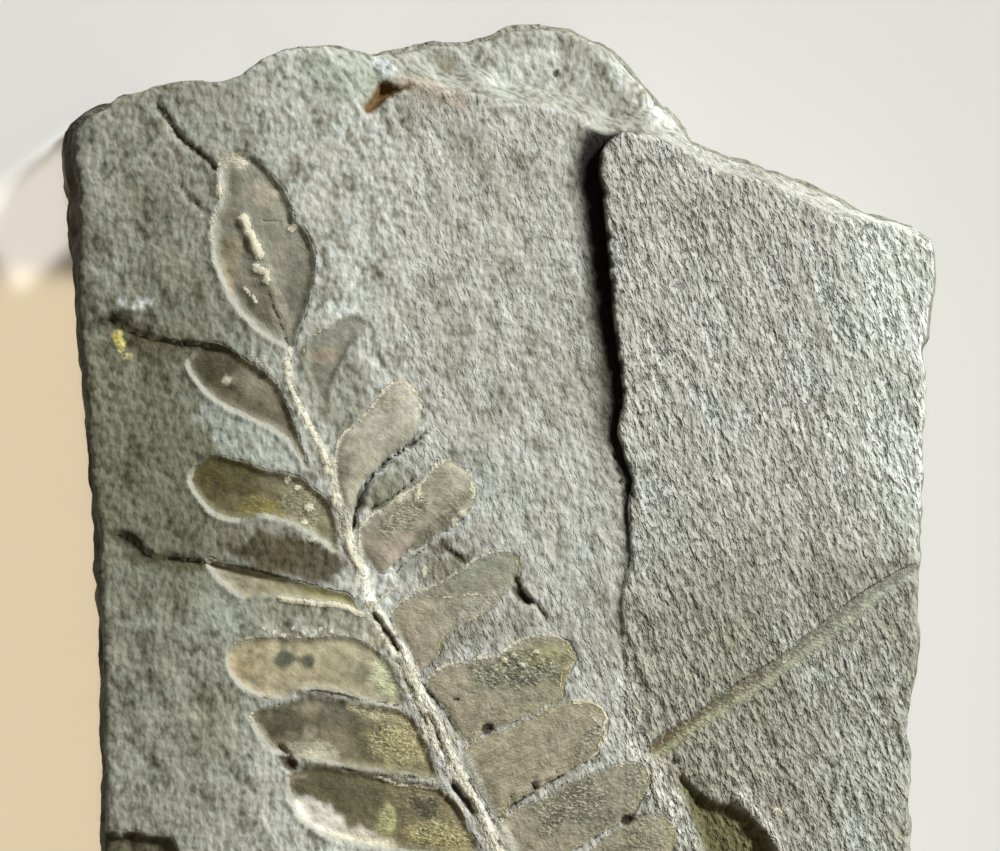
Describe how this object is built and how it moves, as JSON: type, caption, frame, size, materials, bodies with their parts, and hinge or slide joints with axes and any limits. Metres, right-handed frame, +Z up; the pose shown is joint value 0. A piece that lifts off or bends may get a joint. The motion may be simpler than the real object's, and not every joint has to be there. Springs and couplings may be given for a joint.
{
  "type": "fossil fern plate",
  "caption": "Broken slab of grey-green shale lying flat, its upper bedding face carrying a pinnate fern frond compression, a raised bed with a sharp ledge and a stem impression.",
  "frame": {"origin": "under the middle of the slab, in the plane of its flat underside", "axes": "+Z up out of the fossil face, +Y along the slab towards the frond's tip, +X to the right seen from above"},
  "size_m": [0.0909, 0.1134, 0.0215],
  "materials": {
    "grey_shale": "matt grey-green siltstone with brownish satin films on the leaflets, pale mineral rims and olive stains"
  },
  "bodies": {
    "root": {"fossil_plate": "grey_shale"}
  },
  "joints": []
}
